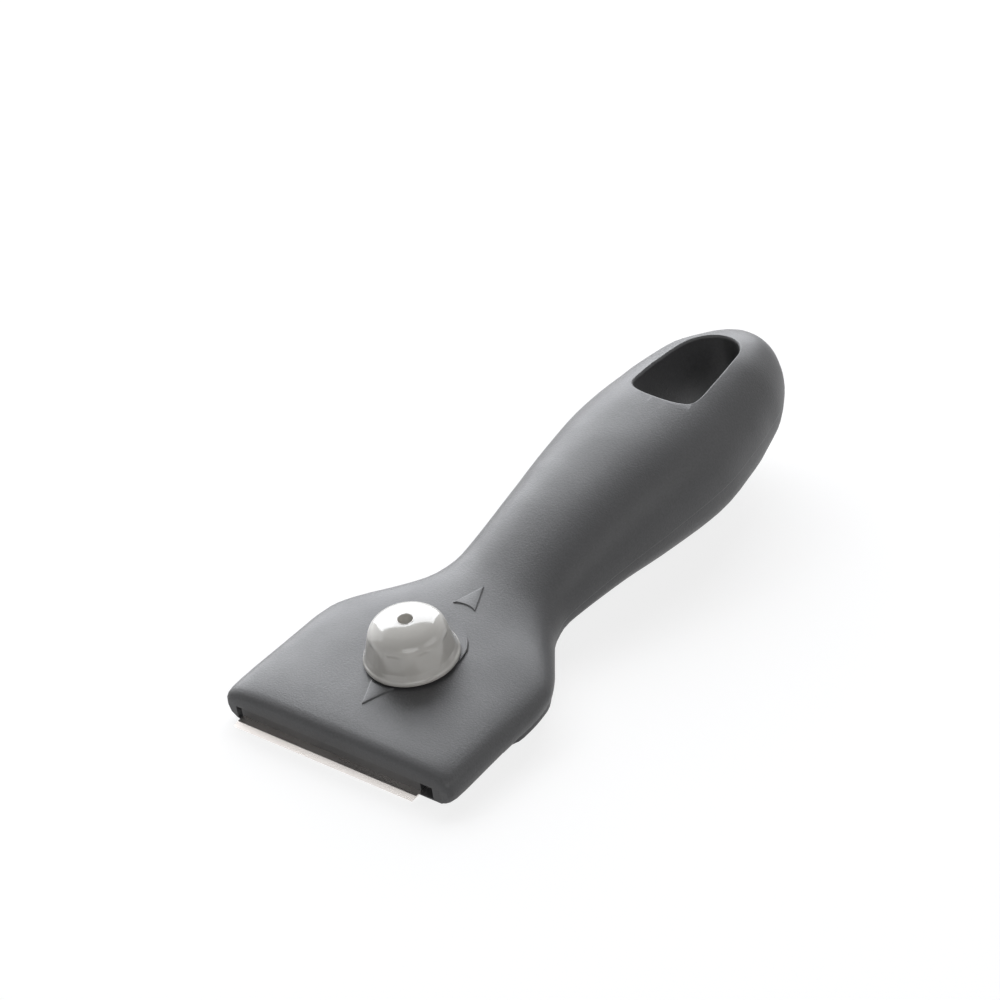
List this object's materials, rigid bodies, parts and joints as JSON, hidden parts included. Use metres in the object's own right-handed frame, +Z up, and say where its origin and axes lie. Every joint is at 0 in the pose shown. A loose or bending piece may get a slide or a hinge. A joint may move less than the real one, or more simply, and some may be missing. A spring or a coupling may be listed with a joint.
{
  "type": "ceramic hob scraper",
  "caption": "Hand scraper for glass and ceramic hobs: wide flat head with a sliding steel blade, a clamping knob on top and a rounded grip with a hang hole.",
  "frame": {"origin": "middle of the footprint, at the height of the lowest point of the grip's belly", "axes": "+Y from the blade's edge to the tail along the tool, +Z up out of the head through the knob's axis, +X to the right seen from the tail"},
  "size_m": [0.0506, 0.128, 0.0266],
  "materials": {
    "housing": "fine matte spark texture, mid grey",
    "carriage": "plain matte, dark grey",
    "knob": "polished, warm light grey",
    "blade": "fine ground, bright bevel",
    "plate": "rolled sheet",
    "fastener": "zinc plated",
    "insert": "turned"
  },
  "bodies": {
    "housing": {"upper_housing": "housing", "lower_shell": "housing", "head_screws": "fastener", "grip_screws": "fastener"},
    "blade_unit": {"blade_carriage": "carriage", "blade": "blade", "clamp_plate": "plate", "clamp_stud": "fastener"},
    "washer": {"pressure_washer": "fastener"},
    "knob": {"knob": "knob", "knob_insert": "insert"}
  },
  "joints": [
    {"name": "blade_slide", "type": "slide", "parent": "housing", "child": "blade_unit", "axis": [0, 1, 0], "range_m": [0, 0.0066]},
    {"name": "knob_rise", "type": "slide", "parent": "blade_unit", "child": "washer", "axis": [0, 0, 1], "range_m": [0, 0.0007]},
    {"name": "knob_turn", "type": "hinge", "parent": "washer", "child": "knob", "pos_m": [0, -0.0392, 0.02], "axis": [0, 0, 1], "range_deg": [0, 360]}
  ],
  "couplings": [
    {"joint": "knob_turn", "follows": "knob_rise", "rad_per_m": 8976}
  ]
}
